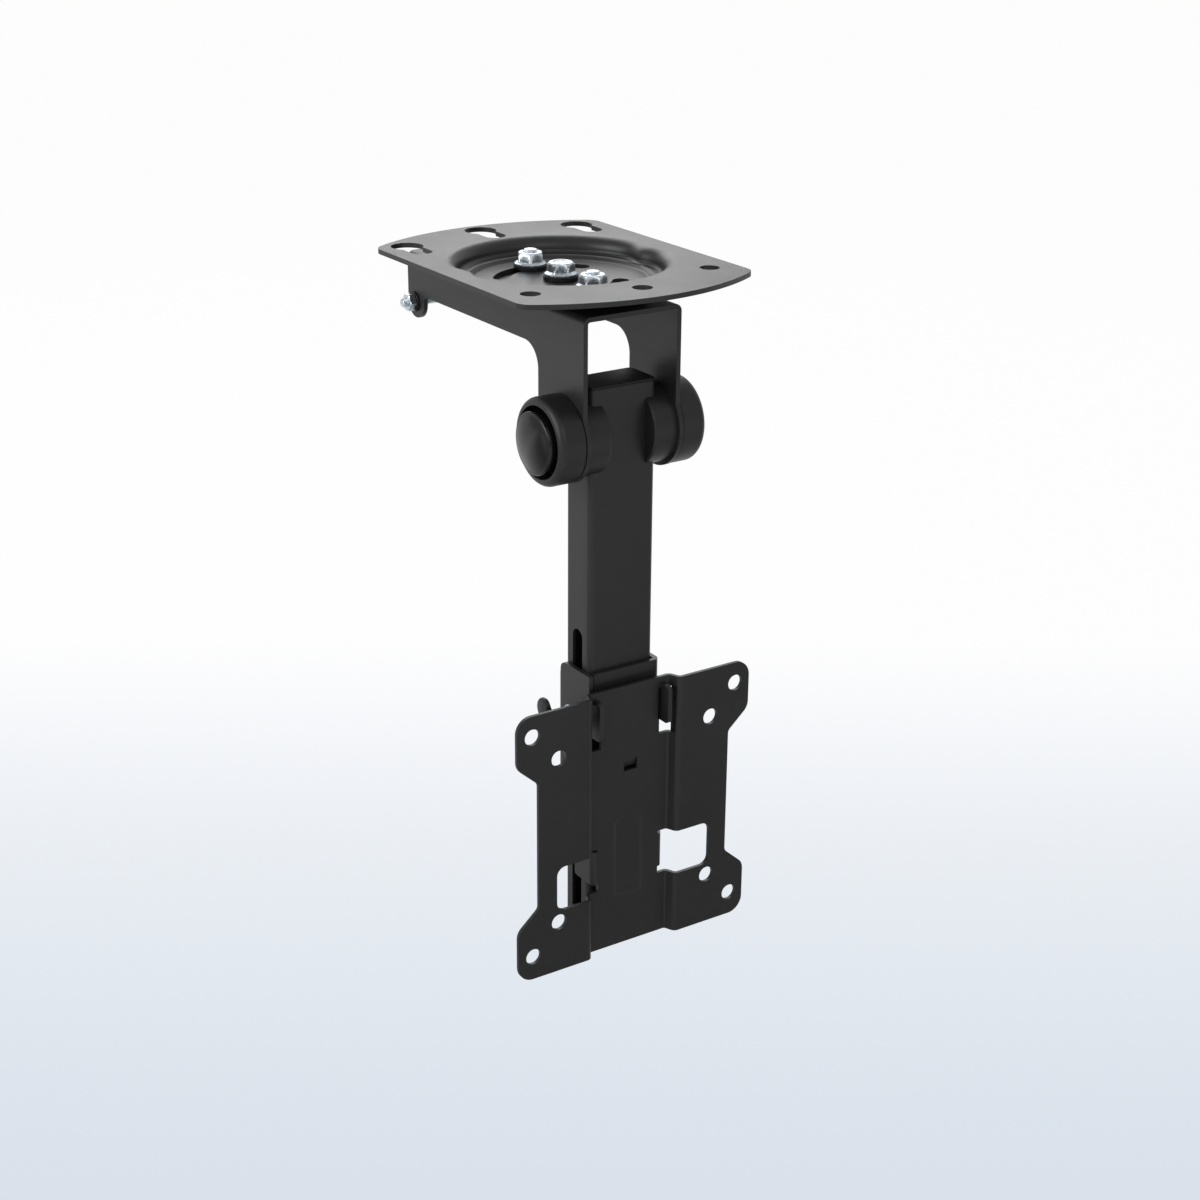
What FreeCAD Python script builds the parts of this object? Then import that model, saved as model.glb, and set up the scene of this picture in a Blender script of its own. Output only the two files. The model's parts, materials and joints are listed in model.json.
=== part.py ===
import FreeCAD, Part
import math
import os
from FreeCAD import Vector

# Ceiling mount for a small flat screen, in millimetres. +Z is up, -Y is the way the screen faces and
# +X is to the right of someone behind the screen plate's front, looking along +Y. The origin is on
# the swivel axis, in the top face of the ceiling plate.

# Ceiling plate: one pressed sheet with rounded ends.
plate_sheet = 2.0
plate_half_width = 53.3
plate_end_margin = 9.3
plate_end_r = 96.0
plate_corner_r = 7.0

# The dish pressed in its middle: a steep wall with a soft rim, a narrow ledge, and a flat floor one
# step lower. Its outline is a disk with a shallow round dent in each side.
dish_depth = 8.2
ledge_depth = 6.5
floor_r = 35.2
ledge_inner_r = 36.6
wall_r = 41.2
dent_x = 58.4
dent_behind = 2.0
dent_r = 20.0
dent_corner_r = 4.0
rim_bend_r = 3.0
ledge_bend_r = 0.8
step_bend_r = 0.4

# Two arc slots in the floor. The angle is from the middle of a slot to the middle of its round end.
arc_slot_r = 24.0
arc_slot_width = 6.8
arc_slot_half_angle = 53.0

# Ceiling screws: three round holes in front, three keyholes behind.
screw_hole_r = 4.0
screw_hole_x = 41.3
screw_hole_ahead = 43.8
middle_hole_ahead = 57.4
keyhole_head_r = 6.7
keyhole_slot_width = 5.0
keyhole_x = 41.0
keyhole_head_behind = 52.3
middle_keyhole_head_behind = 63.2
keyhole_travel = 12.0

# M6 hardware of the swivel and of the clamp.
m6_r = 3.0
m6_hole_r = 3.3
m6_flats = 10.0
m6_head_height = 4.0
flange_nut_height = 5.2
flange_r = 7.1
flange_edge = 0.6
flange_height = 2.4
swivel_washer_r = 7.5
swivel_washer_height = 1.9
guide_washer_r = 7.25
guide_washer_height = 1.6
tip_below_ceiling = 0.2
tip_chamfer = 0.6

# Arm bracket: one folded sheet, open below and at the front, with two legs and two ears.
arm_sheet = 2.0
arm_half_width = 22.66
arm_bend_r = 1.0
arm_ahead = 51.7
arm_behind = 86.4
arm_wall_height = 17.4
leg_corner_r = 10.0
leg_disc_r = 18.0
leg_neck_r = 3.0
ear_r = 6.8
ear_drop = 20.9
ear_corner_r = 2.0

# Pivot of the tube between the two legs, measured from the swivel axis and from the arm's top face.
pivot_ahead = 36.9
pivot_drop = 50.9
m8_r = 4.0
m8_hole_r = 4.2
m8_flats = 13.0
m8_head_height = 5.3
m8_nut_height = 6.5
m8_tip = 1.2
running_clearance = 0.05

# Caps over the bolt's ends, and the domed buttons in them.
cap_r = 17.8
cap_lip_r = 14.6
cap_round_r = 3.0
cap_floor = 3.0
cap_height = 11.6
button_r = 12.7
button_proud = 2.1
button_dome = 2.4
button_edge_r = 0.7
button_clearance = 0.05
button_roof = 1.5

# Spacers that fill the room between legs and tube, each with a channel over the tube's side.
spacer_r = 16.3
spacer_lip = 5.4
spacer_edge_r = 1.0

# Tube: a rectangular section with a slot in each side, and a flanged plug in each end.
tube_half_width = 15.45
tube_depth = 18.1
tube_wall = 1.5
tube_corner_r = 2.4
tube_above_pivot = 19.9
tube_below_pivot = 220.7
tube_slot_width = 7.0
tube_slot_from_pivot = 82.2
tube_slot_from_end = 6.8
plug_flange = 1.2
plug_flange_inset = 0.1
plug_flange_edge_r = 0.4
plug_roof = 1.5
plug_depth = 7.0
plug_wall = 1.8
plug_clearance = 0.05

# Sleeve: one folded sheet that slides on the tube. Heights are from the middle of the screen plate.
slide_clearance = 0.35
sleeve_sheet = 2.0
sleeve_bend_r = 0.8
sleeve_top = 65.2
sleeve_bottom = 5.0
sleeve_corner_r = 4.0
back_wall_drop = 5.5
strap_height = 9.2
strap_seam = 1.0
wall_past_strap = 1.0
wall_set_back = 2.8
clamp_height = 42.0

# Hooks of the sleeve, which reach through the screen plate's slots and carry it.
hook_top = 54.4
hook_lip_rise = 1.8
hook_lip_gap = 0.2
hook_low = 39.2
hook_round_r = 3.0
hook_low_r = 2.0

# Wing bolt: a wing grip moulded on a stud, with a washer, and a nut on the far side.
wing_radius = 12.0
wing_turn = 43.0
wing_root_low = 2.4
wing_root_high = 8.0
wing_tip_low = 6.6
wing_tip_high = 12.2
wing_thick = 2.6
hub_r = 5.4
hub_edge_r = 0.6
hub_height = 9.0
hub_top_r = 4.4
hub_top_edge_r = 1.2
stud_grip = 6.0
clamp_washer_r = 6.4
clamp_washer_height = 1.2
clamp_nut_height = 5.0
clamp_tip = 2.5

# Cross bolt through the ears.
m4_r = 2.0
m4_hole_r = 2.25
m4_flats = 7.0
m4_head_height = 2.8
m4_nut_height = 3.2
m4_tip = 2.2
m4_washer_r = 4.3
m4_washer_height = 1.0
cross_bolt_back = 1.0

# Screen plate: one sheet whose middle is set back by two joggles.
screen_drop = 163.9
screen_stand_off = 5.3
screen_sheet = 1.5
screen_bend_r = 1.2
joggle_depth = 4.8
joggle_outer_x = 21.4
joggle_inner_x = 19.3
screen_side_margin = 7.2
screen_top_margin = 9.2
screen_bottom_margin = 10.6
screen_corner_r = 7.0
neck_half_width = 47.2
neck_half_height = 28.5
shoulder_half_height = 37.4
shoulder_r = 6.0
neck_r = 3.0
screw_grid_large = 100.0
screw_grid_small = 75.0
screen_hole_r = 3.5

# Openings of the screen plate, with heights from its middle.
hook_slot_inner_x = 14.1
hook_slot_outer_x = 20.8
hook_slot_low = 33.5
latch_x = 0.6
latch_height = 23.3
latch_width = 6.5
latch_tall = 5.5
latch_tab_tall = 4.2
latch_tab_lean = 1.6
panel_half_width = 6.5
panel_top = -1.0
panel_bottom = -37.5
panel_press = 0.6
panel_edge_r = 0.5
panel_corner_r = 2.0
window_outer_x = 38.4
window_top = -12.2
window_bottom = -32.4
window_corner_r = 4.0
fold_ear_top_gap = 1.4
fold_ear_low_gap = 3.2
fold_ear_reach = 12.4
fold_ear_end_tall = 5.0
fold_ear_corner_r = 1.5

# Places that follow from the sizes above.
plate_half_length = middle_keyhole_head_behind + plate_end_margin
dish_floor = -dish_depth
arm_top = dish_floor - plate_sheet
arm_inner_x = arm_half_width - arm_sheet
arm_low = arm_top - arm_wall_height
pivot_y = -pivot_ahead
pivot_z = arm_top - pivot_drop
ear_y = arm_behind - ear_r
cross_y = ear_y + cross_bolt_back
ear_z = arm_top - ear_drop
tube_front = pivot_y - tube_depth / 2
tube_back = pivot_y + tube_depth / 2
tube_top = pivot_z + tube_above_pivot
tube_bottom = pivot_z - tube_below_pivot
tube_slot_top = pivot_z - tube_slot_from_pivot
tube_slot_bottom = tube_bottom + tube_slot_from_end
sleeve_inner_x = tube_half_width + slide_clearance
sleeve_outer_x = sleeve_inner_x + sleeve_sheet
screen_z = pivot_z - screen_drop
screen_half_width = screw_grid_large / 2 + screen_side_margin
screen_top = screen_z + screw_grid_large / 2 + screen_top_margin
screen_bottom = screen_z - screw_grid_large / 2 - screen_bottom_margin
screen_back = tube_front - screen_stand_off
screen_front = screen_back - screen_sheet
flange_front = screen_front - joggle_depth
clamp_z = screen_z + clamp_height
beyond = 5.0


def at(axis, a, b, along):
    """The point with coordinate along on the named axis, and a and b on the other two, in X, Y, Z order."""
    places = {"X": (along, a, b), "Y": (a, along, b), "Z": (a, b, along)}
    return Vector(*places[axis])


def way(axis):
    """The unit vector of the named axis."""
    return at(axis, 0, 0, 1)


def flat(corners):
    """The face inside a closed outline, each corner a point and the radius that rounds it."""
    arcs = []
    for index, (corner, radius) in enumerate(corners):
        back = (corners[index - 1][0] - corner).normalize()
        ahead = (corners[(index + 1) % len(corners)][0] - corner).normalize()
        half = back.getAngle(ahead) / 2
        reach = radius / math.tan(half)
        middle = corner + (back + ahead).normalize() * (radius / math.sin(half) - radius)
        arcs.append((corner + back * reach, middle, corner + ahead * reach, radius))
    edges = []
    for index, (start, middle, end, radius) in enumerate(arcs):
        if radius > 0:
            edges.append(Part.Arc(start, middle, end).toShape())
        following = arcs[(index + 1) % len(arcs)][0]
        if not end.isEqual(following, 1e-6):
            edges.append(Part.LineSegment(end, following).toShape())
    return Part.Face(Part.Wire(edges))


def slab(axis, corners, low, high):
    """The solid inside an outline of (a, b, radius) corners square to an axis, from low to high along it."""
    face = flat([(at(axis, a, b, low), radius) for a, b, radius in corners])
    return face.extrude(way(axis) * (high - low))


def turned(axis, a, b, corners):
    """The solid of a section of (distance from the axis, place along it, radius) corners, turned."""
    face = flat([(at(axis, a + reach, b, along), radius) for reach, along, radius in corners])
    return face.revolve(at(axis, a, b, 0), way(axis), 360)


def drum(axis, a, b, radius, low, high):
    """A round bar along an axis."""
    return Part.makeCylinder(radius, high - low, at(axis, a, b, low), way(axis))


def hexagon(axis, a, b, flats, low, high):
    """A hexagonal bar along an axis, its corners chamfered at both ends as on a nut or bolt head."""
    corner_r = flats / math.sqrt(3)
    bevel = (corner_r - flats / 2) / 2
    turns = [math.radians(60 * step) for step in range(6)]
    corners = [(a + corner_r * math.cos(turn), b + corner_r * math.sin(turn), 0) for turn in turns]
    blank = [(0, low, 0), (flats / 2, low, 0), (corner_r, low + bevel, 0),
             (corner_r, high - bevel, 0), (flats / 2, high, 0), (0, high, 0)]
    return slab(axis, corners, low, high).common(turned(axis, a, b, blank))


def shank(axis, a, b, radius, low, high):
    """A bolt's shank along an axis, its tip chamfered at the high end."""
    section = [(0, low, 0), (radius, low, 0), (radius, high - tip_chamfer, 0),
               (radius - tip_chamfer, high, 0), (0, high, 0)]
    return turned(axis, a, b, section)


def ring(axis, a, b, outer_r, inner_r, low, high):
    """A washer or spacer tube along an axis."""
    return drum(axis, a, b, outer_r, low, high).cut(drum(axis, a, b, inner_r, low, high))


def box(low, high):
    """A rectangular block between two opposite corners."""
    return Part.makeBox(high[0] - low[0], high[1] - low[1], high[2] - low[2], Vector(*low))


def upright_slot(a, low, high, width):
    """Corners of an upright slot with round ends."""
    half = width / 2
    return [(a - half, low, half), (a + half, low, half), (a + half, high, half), (a - half, high, half)]


def bent(line, sheet):
    """Corners of the section of a bent sheet, from (a, b, inside bend radius) points along one face.

    The sheet lies to the right of the line. On the outside of a bend the radius grows by the sheet.
    """
    points = [Vector(a, b, 0) for a, b, bend in line]
    headings = [(after - point).normalize() for point, after in zip(points, points[1:])]
    headings = [headings[0]] + headings + [headings[-1]]
    near_face = []
    far_face = []
    for point, (a, b, bend), before, after in zip(points, line, headings, headings[1:]):
        right_before = Vector(before.y, -before.x, 0)
        right_after = Vector(after.y, -after.x, 0)
        across = (right_before + right_after) * (sheet / (1 + right_before.dot(right_after)))
        left_turn = before.x * after.y - before.y * after.x > 0
        outside = bend + sheet if bend > 0 else 0
        near_face.append((a, b, bend if left_turn else outside))
        far_face.append((a + across.x, b + across.y, outside if left_turn else bend))
    return near_face + far_face[::-1]


def fuse_all(pieces):
    """One solid from pieces that meet, without the seams between them."""
    return pieces[0].multiFuse(pieces[1:]).removeSplitter()


def mirrored(shape):
    """The same shape on the other side of the middle plane."""
    return shape.mirror(Vector(0, 0, 0), Vector(1, 0, 0))


def edges_near(shape, points):
    """The edges of a shape that pass through any of the given points."""
    spots = [Part.Vertex(point) for point in points]
    return [edge for edge in shape.Edges if any(edge.distToShape(spot)[0] < 1e-4 for spot in spots)]


def plate_blank():
    """The flat ceiling plate with its bowed ends and rounded corners."""
    corner_y = plate_half_length - plate_end_r + math.sqrt(plate_end_r ** 2 - plate_half_width ** 2)
    corners = [Vector(side * plate_half_width, end * corner_y, -plate_sheet)
               for side, end in ((-1, -1), (1, -1), (1, 1), (-1, 1))]
    front_end = Vector(0, -plate_half_length, -plate_sheet)
    back_end = Vector(0, plate_half_length, -plate_sheet)
    outline = [Part.Arc(corners[0], front_end, corners[1]).toShape(),
               Part.LineSegment(corners[1], corners[2]).toShape(),
               Part.Arc(corners[2], back_end, corners[3]).toShape(),
               Part.LineSegment(corners[3], corners[0]).toShape()]
    blank = Part.Face(Part.Wire(outline)).extrude(Vector(0, 0, plate_sheet))
    middles = [corner + Vector(0, 0, plate_sheet / 2) for corner in corners]
    return blank.makeFillet(plate_corner_r, edges_near(blank, middles))


def level_edges(shape, height, reach):
    """The edges of a shape that lie at one height, with both ends within reach of the swivel axis."""
    ends = [(edge, [(v.Z, math.hypot(v.X, v.Y)) for v in edge.Vertexes]) for edge in shape.Edges]
    return [edge for edge, places in ends
            if all(abs(z - height) < 1e-6 and distance < reach for z, distance in places)]


def dish_form(sheet):
    """The room inside the dish or, with the sheet's thickness added all round, its outside."""
    ledge = -ledge_depth - sheet
    dent = drum("Z", dent_x, dent_behind, dent_r - sheet, ledge - beyond, beyond)
    form = drum("Z", 0, 0, wall_r + sheet, ledge, 0).cut([dent, mirrored(dent)])
    upright = [edge for edge in form.Edges if edge.BoundBox.ZLength > ledge_depth / 2]
    form = form.makeFillet(dent_corner_r + sheet, upright)
    form = form.makeFillet(ledge_bend_r + sheet, level_edges(form, ledge, wall_r + beyond))
    slope = math.atan2(dish_depth - ledge_depth, ledge_inner_r - floor_r)
    spread = sheet * math.tan(slope / 2)
    step = [(0, ledge, 0), (ledge_inner_r + spread, ledge, 0),
            (floor_r + spread, dish_floor - sheet, 0), (0, dish_floor - sheet, 0)]
    return fuse_all([form, turned("Z", 0, 0, step)])


def dished_plate():
    """The plate with its dish pressed in and the bends of the rim and of the step rounded."""
    plate = fuse_all([plate_blank(), dish_form(plate_sheet)]).cut(dish_form(0))
    reach = wall_r + beyond
    plate = plate.makeFillet(rim_bend_r + plate_sheet, level_edges(plate, 0, reach))
    plate = plate.makeFillet(rim_bend_r, level_edges(plate, -plate_sheet, reach))
    steps = level_edges(plate, dish_floor, reach) + level_edges(plate, dish_floor - plate_sheet, reach)
    return plate.makeFillet(step_bend_r, steps)


def arc_slot():
    """One round-ended slot that follows a circle about the swivel axis, behind it."""
    inner_r = arc_slot_r - arc_slot_width / 2
    outer_r = arc_slot_r + arc_slot_width / 2
    low = dish_floor - plate_sheet - beyond
    height = plate_sheet + 2 * beyond
    span = Part.makeCylinder(outer_r, height, Vector(0, 0, low), Vector(0, 0, 1), 2 * arc_slot_half_angle)
    span = span.cut(Part.makeCylinder(inner_r, height, Vector(0, 0, low)))
    span.rotate(Vector(0, 0, 0), Vector(0, 0, 1), 90 - arc_slot_half_angle)
    reach = math.radians(arc_slot_half_angle)
    end_x = arc_slot_r * math.sin(reach)
    end_y = arc_slot_r * math.cos(reach)
    ends = [drum("Z", x, end_y, arc_slot_width / 2, low, low + height) for x in (-end_x, end_x)]
    return fuse_all([span] + ends)


def keyhole(x, head_y):
    """One keyhole: the screw's head goes in at the back and its neck slides to the front end."""
    slot = upright_slot(x, head_y - keyhole_travel - keyhole_slot_width / 2, head_y, keyhole_slot_width)
    return fuse_all([drum("Z", x, head_y, keyhole_head_r, -plate_sheet - beyond, beyond),
                     slab("Z", slot, -plate_sheet - beyond, beyond)])


def ceiling_plate():
    """Pressed plate: bowed blank, stepped dish, arc slots, swivel hole, screw holes and keyholes."""
    back_slot = arc_slot()
    front_slot = back_slot.mirror(Vector(0, 0, 0), Vector(0, 1, 0))
    low = dish_floor - plate_sheet - beyond
    holes = [back_slot, front_slot, drum("Z", 0, 0, m6_r + running_clearance, low, beyond)]
    screws = [(-screw_hole_x, screw_hole_ahead), (screw_hole_x, screw_hole_ahead), (0, middle_hole_ahead)]
    holes += [drum("Z", x, -ahead, screw_hole_r, low, beyond) for x, ahead in screws]
    holes += [keyhole(-keyhole_x, keyhole_head_behind), keyhole(keyhole_x, keyhole_head_behind),
              keyhole(0, middle_keyhole_head_behind)]
    return dished_plate().cut(holes)


def hex_bolt(axis, a, b, radius, flats, head_height, seat, tip):
    """A hexagon bolt whose head's seat and tip are at two places along an axis."""
    head = hexagon(axis, a, b, flats, seat - head_height, seat)
    return fuse_all([head, shank(axis, a, b, radius, seat, tip)])


def swivel_bolt(y):
    """An M6 bolt up through the arm's web and the dish, its tip just under the ceiling."""
    return hex_bolt("Z", 0, y, m6_r, m6_flats, m6_head_height, arm_top - arm_sheet, -tip_below_ceiling)


def flange_nut(y, seat):
    """An M6 flange nut that stands on a washer in the dish."""
    skirt = [(0, seat, 0), (flange_r, seat, 0), (flange_r, seat + flange_edge, 0),
             (m6_flats / 2, seat + flange_height, 0), (0, seat + flange_height, 0)]
    nut = fuse_all([turned("Z", 0, y, skirt), hexagon("Z", 0, y, m6_flats, seat, seat + flange_nut_height)])
    return nut.cut(drum("Z", 0, y, m6_r, seat - beyond, seat + flange_nut_height + beyond))


def arm_outline():
    """The arm seen from the side: long wall, ear at the back, leg and round foot at the front."""
    above = arm_top + beyond
    corners = [(-arm_ahead, above, 0), (arm_behind, above, 0),
               (arm_behind, ear_z - ear_r, ear_r), (ear_y - ear_r, ear_z - ear_r, ear_r),
               (ear_y - ear_r, arm_low, ear_corner_r), (pivot_y + leg_disc_r, arm_low, leg_corner_r),
               (pivot_y + leg_disc_r, pivot_z, 0), (-arm_ahead, pivot_z, 0)]
    reach = arm_half_width + beyond
    foot = drum("X", pivot_y, pivot_z, leg_disc_r, -reach, reach)
    outline = fuse_all([slab("X", corners, -reach, reach), foot])
    neck_z = pivot_z + math.sqrt(leg_disc_r ** 2 - (arm_ahead - pivot_ahead) ** 2)
    return outline.makeFillet(leg_neck_r, edges_near(outline, [Vector(0, -arm_ahead, neck_z)]))


def arm_bracket():
    """Folded channel, open below, cut to the side outline, with its bolt holes."""
    low = pivot_z - leg_disc_r - beyond
    section = [(-arm_half_width, low, 0), (-arm_half_width, arm_top, arm_bend_r),
               (arm_half_width, arm_top, arm_bend_r), (arm_half_width, low, 0)]
    channel = slab("Y", bent(section, arm_sheet), -pivot_ahead - leg_disc_r - beyond, arm_behind)
    reach = arm_half_width + beyond
    holes = [drum("Z", 0, y, m6_hole_r, arm_low, arm_top + beyond) for y in (-arc_slot_r, 0, arc_slot_r)]
    holes.append(drum("X", pivot_y, pivot_z, m8_hole_r, -reach, reach))
    holes.append(drum("X", cross_y, ear_z, m4_hole_r, -reach, reach))
    return channel.common(arm_outline()).cut(holes)


def pivot_bolt():
    """The M8 bolt through both caps, both legs, the spacers and the tube."""
    seat = -arm_half_width - cap_floor
    tip = arm_half_width + cap_floor + m8_nut_height + m8_tip
    return hex_bolt("X", pivot_y, pivot_z, m8_r, m8_flats, m8_head_height, seat, tip)


def pivot_nut():
    """The nut of the pivot bolt, on the floor of the right cap."""
    seat = arm_half_width + cap_floor
    nut = hexagon("X", pivot_y, pivot_z, m8_flats, seat, seat + m8_nut_height)
    return nut.cut(drum("X", pivot_y, pivot_z, m8_r, seat, seat + m8_nut_height))


def right_cap():
    """A round moulded cup on the right leg, its rolled lip outward and the bolt's hole in its floor."""
    seat = arm_half_width
    floor = seat + cap_floor
    section = [(m8_hole_r, seat, 0), (cap_r, seat, 0), (cap_r, seat + cap_height, cap_round_r),
               (cap_lip_r, seat + cap_height, 0), (cap_lip_r, floor, 0), (m8_hole_r, floor, 0)]
    return turned("X", pivot_y, pivot_z, section)


def right_button():
    """A domed button pushed over the hexagon inside a cup, its skirt on the cup's floor."""
    seat = arm_half_width + cap_floor
    edge = arm_half_width + cap_height + button_proud
    apex = edge + button_dome
    sphere_r = (button_r ** 2 + button_dome ** 2) / (2 * button_dome)
    barrel = [(0, seat, 0), (button_r, seat, 0), (button_r, apex, 0), (0, apex, 0)]
    dome = Part.makeSphere(sphere_r, at("X", pivot_y, pivot_z, apex - sphere_r))
    body = turned("X", pivot_y, pivot_z, barrel).common(dome)
    body = body.makeFillet(button_edge_r, edges_near(body, [at("X", pivot_y, pivot_z + button_r, edge)]))
    socket_r = m8_flats / math.sqrt(3) + button_clearance
    roof = edge - button_roof
    return body.cut(drum("X", pivot_y, pivot_z, socket_r, seat - beyond, roof))


def tube_corners(grow):
    """Corners of the tube's outer section, grown by a clearance on every side."""
    x = tube_half_width + grow
    radius = max(tube_corner_r + grow, 0)
    return [(-x, tube_front - grow, radius), (x, tube_front - grow, radius),
            (x, tube_back + grow, radius), (-x, tube_back + grow, radius)]


def right_spacer():
    """A round spacer between the right leg and the tube, with a channel that the tube's side fits."""
    inner = tube_half_width - spacer_lip
    section = [(m8_r + running_clearance, inner, 0), (spacer_r, inner, spacer_edge_r),
               (spacer_r, arm_inner_x, 0), (m8_r + running_clearance, arm_inner_x, 0)]
    spacer = turned("X", pivot_y, pivot_z, section)
    reach = spacer_r + beyond
    return spacer.cut(slab("Z", tube_corners(0), pivot_z - reach, pivot_z + reach))


def tube():
    """The square-cornered tube: hollow, slotted in both sides, with the pivot bolt's holes."""
    solid = slab("Z", tube_corners(0), tube_bottom, tube_top)
    reach = tube_half_width + beyond
    slot = upright_slot(pivot_y, tube_slot_bottom, tube_slot_top, tube_slot_width)
    cuts = [slab("Z", tube_corners(-tube_wall), tube_bottom - beyond, tube_top + beyond),
            slab("X", slot, -reach, reach),
            drum("X", pivot_y, pivot_z, m8_hole_r, -reach, reach)]
    return solid.cut(cuts)


def end_plug(rim, inward):
    """A moulded plug in one end of the tube: a flange on the rim, and a hollow skirt inside."""
    outer = rim - inward * plug_flange
    roof = rim + inward * plug_roof
    inner = rim + inward * plug_depth
    cover = slab("Z", tube_corners(-plug_flange_inset), min(outer, rim), max(outer, rim))
    cover = cover.makeFillet(plug_flange_edge_r, [edge for edge in cover.Edges
                                                  if all(abs(v.Z - outer) < 1e-6 for v in edge.Vertexes)])
    skirt = slab("Z", tube_corners(-tube_wall - plug_clearance), min(rim, inner), max(rim, inner))
    hollow = slab("Z", tube_corners(-tube_wall - plug_wall), min(roof, inner), max(roof, inner))
    return fuse_all([cover, skirt]).cut(hollow)


def hook(inner_x, outer_x):
    """One hook: a neck through the plate's slot, and a rounded lip that stands up in front of the plate."""
    lip_back = screen_front - hook_lip_gap
    root = screen_back + wall_set_back + sleeve_sheet
    corners = [(root, screen_z + hook_top, 0), (lip_back, screen_z + hook_top, 0),
               (lip_back, screen_z + hook_top + hook_lip_rise, 0),
               (flange_front, screen_z + hook_top + hook_lip_rise, hook_round_r),
               (flange_front, screen_z + hook_low, hook_low_r), (root, screen_z + hook_low, 0)]
    return slab("X", corners, inner_x, outer_x)


def sleeve():
    """Folded sleeve: three walls round the tube, a front strap at the top and two hooks."""
    top = screen_z + sleeve_top
    back = tube_back + slide_clearance + sleeve_sheet
    strap_front = tube_front - slide_clearance - sleeve_sheet
    strap_low = top - strap_height
    strap_end = -sleeve_inner_x + strap_seam
    x = sleeve_outer_x
    closed = [(-x, strap_front - wall_past_strap, 0), (-x, back, sleeve_bend_r), (x, back, sleeve_bend_r),
              (x, strap_front, sleeve_bend_r), (strap_end, strap_front, 0)]
    wall_front = screen_back + wall_set_back
    open_front = [(-x, wall_front, 0), (-x, back, sleeve_bend_r),
                  (x, back, sleeve_bend_r), (x, wall_front, 0)]
    body = fuse_all([slab("Z", bent(closed, sleeve_sheet), strap_low, top),
                     slab("Z", bent(open_front, sleeve_sheet), screen_z + sleeve_bottom, strap_low),
                     hook(sleeve_inner_x, sleeve_outer_x), hook(-sleeve_outer_x, -sleeve_inner_x)])
    body = body.cut(box((-x - beyond, back - sleeve_sheet, top - back_wall_drop),
                        (x + beyond, back + beyond, top + beyond)))
    corners = [Vector(side * (x - sleeve_sheet / 2), back - sleeve_sheet, top) for side in (-1, 1)]
    body = body.makeFillet(sleeve_corner_r, edges_near(body, corners))
    return body.cut(drum("X", pivot_y, clamp_z, m6_hole_r, -x - beyond, x + beyond))


def wing(side):
    """One wing of the grip, upright: a waisted blade that ends in a round, thicker ear."""
    seat = -sleeve_outer_x - clamp_washer_height
    tip_r = (wing_tip_high - wing_tip_low) / 2
    tip_z = clamp_z + side * (wing_radius - tip_r)
    blade = [(seat - wing_root_low, clamp_z, 0), (seat - wing_tip_low, tip_z, 0),
             (seat - wing_tip_high, tip_z, 0), (seat - wing_root_high, clamp_z, 0)]
    faces = (pivot_y - wing_thick / 2, pivot_y + wing_thick / 2)
    ear = drum("Y", seat - wing_tip_low - tip_r, tip_z, tip_r, *faces)
    return fuse_all([slab("Y", blade, *faces), ear])


def wing_grip():
    """The moulded grip: a tapered hub and two wings, turned a little about the stud."""
    seat = -sleeve_outer_x - clamp_washer_height
    top = seat - hub_height
    hub = [(0, seat, 0), (hub_r, seat, hub_edge_r), (hub_top_r, top, hub_top_edge_r), (0, top, 0)]
    grip = fuse_all([turned("X", pivot_y, clamp_z, hub), wing(1), wing(-1)])
    grip.rotate(Vector(0, pivot_y, clamp_z), Vector(1, 0, 0), -wing_turn)
    return grip.cut(drum("X", pivot_y, clamp_z, m6_r, seat - stud_grip, seat + beyond))


def wing_stud():
    """The stud of the wing grip, through the sleeve and the tube's slots to the nut on the right."""
    start = -sleeve_outer_x - clamp_washer_height - stud_grip
    tip = sleeve_outer_x + clamp_washer_height + clamp_nut_height + clamp_tip
    return shank("X", pivot_y, clamp_z, m6_r, start, tip)


def clamp_nut():
    """The nut of the wing bolt, on its washer on the sleeve's right side."""
    seat = sleeve_outer_x + clamp_washer_height
    nut = hexagon("X", pivot_y, clamp_z, m6_flats, seat, seat + clamp_nut_height)
    return nut.cut(drum("X", pivot_y, clamp_z, m6_r, seat, seat + clamp_nut_height))


def cross_bolt():
    """The M4 bolt through both ears, its head on the right and its nut on the left."""
    seat = arm_half_width + m4_washer_height
    tip = seat + m4_nut_height + m4_tip
    bolt = hex_bolt("X", cross_y, ear_z, m4_r, m4_flats, m4_head_height, -seat, tip)
    return mirrored(bolt)


def cross_bolt_nut():
    """The nut of the cross bolt, on its washer on the left ear."""
    seat = arm_half_width + m4_washer_height
    nut = hexagon("X", cross_y, ear_z, m4_flats, -seat - m4_nut_height, -seat)
    return nut.cut(drum("X", cross_y, ear_z, m4_r, -seat - m4_nut_height, -seat))


def screen_outline():
    """The screen plate seen from the front: square ends, a narrower middle and slanted shoulders."""
    right = [(screen_half_width, screen_top, screen_corner_r),
             (screen_half_width, screen_z + shoulder_half_height, shoulder_r),
             (neck_half_width, screen_z + neck_half_height, neck_r),
             (neck_half_width, screen_z - neck_half_height, neck_r),
             (screen_half_width, screen_z - shoulder_half_height, shoulder_r),
             (screen_half_width, screen_bottom, screen_corner_r)]
    corners = right + [(-x, z, radius) for x, z, radius in right[::-1]]
    return slab("Y", corners, flange_front - beyond, screen_back + beyond)


def right_window():
    """The right window, cut as far in as the fold beside it, so that it clears both ends of the fold."""
    fold_start = sleeve_outer_x - screen_sheet - screen_bend_r
    low = screen_z + window_bottom
    high = screen_z + window_top
    corners = [(fold_start, low, 0), (window_outer_x, low, window_corner_r),
               (window_outer_x, high, window_corner_r), (fold_start, high, 0)]
    return slab("Y", corners, flange_front - beyond, screen_back + beyond)


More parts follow.
